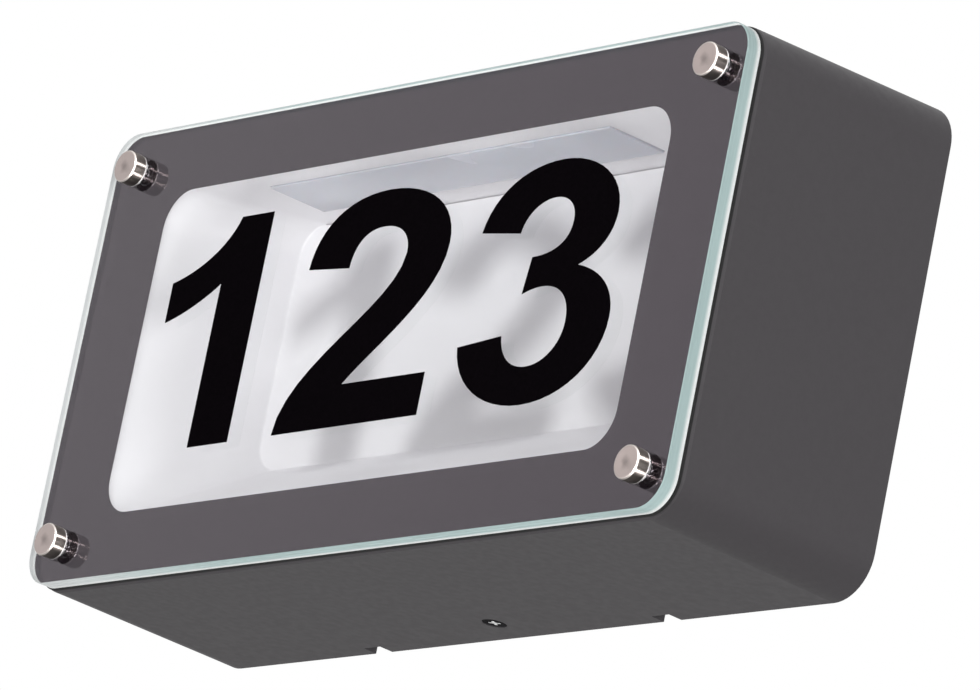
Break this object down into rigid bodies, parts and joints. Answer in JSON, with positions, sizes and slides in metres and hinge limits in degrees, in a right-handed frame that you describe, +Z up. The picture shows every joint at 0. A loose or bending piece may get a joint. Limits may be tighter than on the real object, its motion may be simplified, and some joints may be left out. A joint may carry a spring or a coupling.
{
  "type": "outdoor wall light",
  "caption": "Box-shaped wall light with a cast housing, a glass front held by cap nuts, house digits on the glass and a lamp above a white light box.",
  "frame": {"origin": "centre of the wall plate's rear face, on the wall plane", "axes": "X to the right seen from the front, +Y into the wall, +Z up; the glass front faces -Y"},
  "size_m": [0.2946, 0.0825, 0.1482],
  "materials": {
    "plate_steel": "zinc-plated sheet",
    "seal_rubber": "matte",
    "white_polyamide": "moulded, fine grain",
    "brass_parts": "bright turned",
    "zinc_screws": "zinc plated",
    "anthracite_powder": "matte fine-texture powder coat on cast aluminium",
    "stainless_steel": "turned and brushed",
    "reflector_white": "satin white",
    "tray_aluminium": "mill finish",
    "board_white": "white solder mask",
    "phosphor_yellow": "silicone over phosphor",
    "opal_acrylic": "satin opal",
    "foam_black": "closed-cell foam",
    "float_glass": "polished, ground edges",
    "printed_enamel": "ceramic print on the back of the glass",
    "black_vinyl": "matte adhesive film",
    "black_nylon": "moulded nylon"
  },
  "bodies": {
    "base": {"wall_plate": "plate_steel", "rim_seal": "seal_rubber", "cable_grommet": "seal_rubber", "terminal_block": "white_polyamide", "terminal_screws": "zinc_screws", "terminal_fixing": "zinc_screws", "earth_tag": "brass_parts", "earth_screw": "brass_parts", "driver_case": "white_polyamide", "driver_lid": "white_polyamide", "driver_screws": "zinc_screws"},
    "cover": {"housing": "anthracite_powder", "lock_nut": "zinc_screws", "light_box": "reflector_white", "box_screws": "zinc_screws", "lamp_tray": "tray_aluminium", "lamp_screws": "zinc_screws", "led_board": "board_white", "led_chips": "phosphor_yellow", "opal_cover": "opal_acrylic", "glass_gasket": "foam_black", "studs": "stainless_steel"},
    "front": {"glass_panel": "float_glass", "print_border": "printed_enamel", "digit_one": "black_vinyl", "digit_two": "black_vinyl", "digit_three": "black_vinyl", "glass_sleeves": "black_nylon", "cap_washers": "stainless_steel"},
    "cap_tl": {"cap_top_left": "stainless_steel"},
    "cap_tr": {"cap_top_right": "stainless_steel"},
    "cap_bl": {"cap_bottom_left": "stainless_steel"},
    "cap_br": {"cap_bottom_right": "stainless_steel"},
    "lock": {"lock_screw": "stainless_steel"}
  },
  "joints": [
    {"name": "cover_pull_off", "type": "slide", "parent": "base", "child": "cover", "axis": [0, -1, 0], "range_m": [0, 0.1]},
    {"name": "glass_lift_off", "type": "slide", "parent": "cover", "child": "front", "axis": [0, -1, 0], "range_m": [0, 0.03]},
    {"name": "cap_tl_turn", "type": "hinge", "parent": "front", "child": "cap_tl", "pos_m": [-0.1326, -0.08, 0.0594], "axis": [0, -1, 0], "continuous": true},
    {"name": "cap_tr_turn", "type": "hinge", "parent": "front", "child": "cap_tr", "pos_m": [0.1326, -0.08, 0.0594], "axis": [0, -1, 0], "continuous": true},
    {"name": "cap_bl_turn", "type": "hinge", "parent": "front", "child": "cap_bl", "pos_m": [-0.1326, -0.08, -0.0594], "axis": [0, -1, 0], "continuous": true},
    {"name": "cap_br_turn", "type": "hinge", "parent": "front", "child": "cap_br", "pos_m": [0.1326, -0.08, -0.0594], "axis": [0, -1, 0], "continuous": true},
    {"name": "lock_screw_turn", "type": "hinge", "parent": "cover", "child": "lock", "pos_m": [0, -0.0128, -0.074], "axis": [0, 0, -1], "continuous": true}
  ]
}
